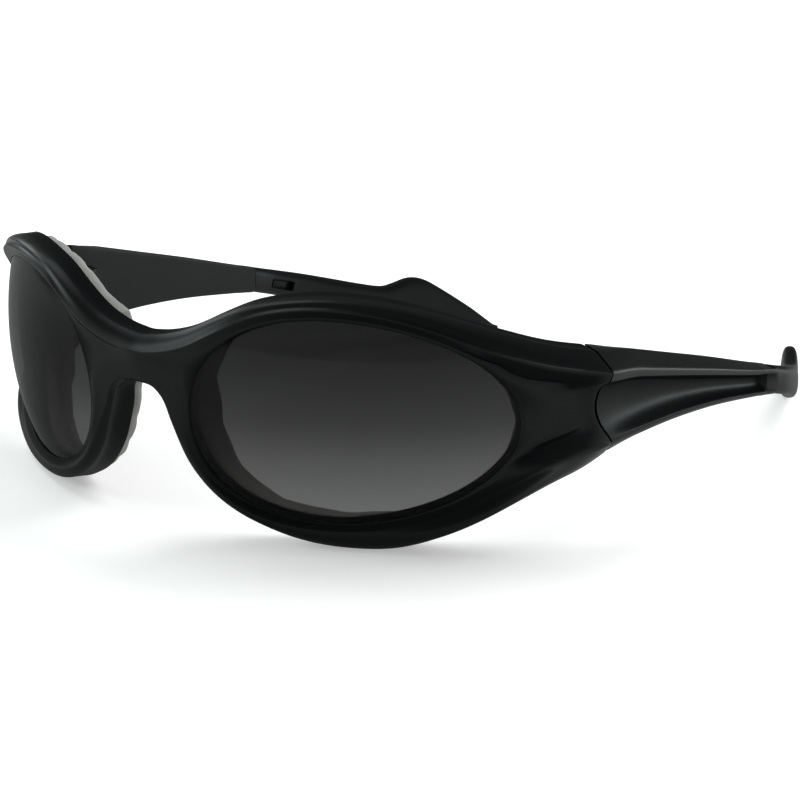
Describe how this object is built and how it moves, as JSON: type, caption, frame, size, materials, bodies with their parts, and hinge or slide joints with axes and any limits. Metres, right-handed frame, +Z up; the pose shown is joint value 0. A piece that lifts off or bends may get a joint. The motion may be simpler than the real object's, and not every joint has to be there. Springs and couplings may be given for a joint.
{
  "type": "sunglasses",
  "caption": "Wraparound riding sunglasses: moulded frame, tinted spherical lenses, foam seals round the eyes and folding temples with curved tips.",
  "frame": {"origin": "on the table under the middle of the glasses, which stand open on the rims' lower lobes and the temple tips", "axes": "+X towards the wearer's left, +Y back along the temples, +Z up; the front of the glasses faces -Y"},
  "size_m": [0.146, 0.1634, 0.0482],
  "materials": {
    "frame_plastic": "satin moulded",
    "tip_plastic": "satin moulded, slightly softer grip",
    "lens_tint": "polished, smoke tint, darker at the top",
    "foam": "soft fine-celled foam",
    "screw_steel": "turned, satin"
  },
  "bodies": {
    "front": {"frame_front": "frame_plastic", "lens_left": "lens_tint", "lens_right": "lens_tint", "foam_left": "foam", "foam_right": "foam", "hinge_screw_left": "screw_steel", "hinge_screw_right": "screw_steel"},
    "left_temple": {"temple_left": "frame_plastic", "temple_tip_left": "tip_plastic"},
    "right_temple": {"temple_right": "frame_plastic", "temple_tip_right": "tip_plastic"}
  },
  "joints": [
    {"name": "left_temple_fold", "type": "hinge", "parent": "front", "child": "left_temple", "pos_m": [0.06606, -0.02831, 0.02626], "axis": [0, 0.1564, 0.9877], "range_deg": [0, 90]},
    {"name": "right_temple_fold", "type": "hinge", "parent": "front", "child": "right_temple", "pos_m": [-0.06606, -0.02831, 0.02626], "axis": [0, -0.1564, -0.9877], "range_deg": [0, 70]}
  ]
}
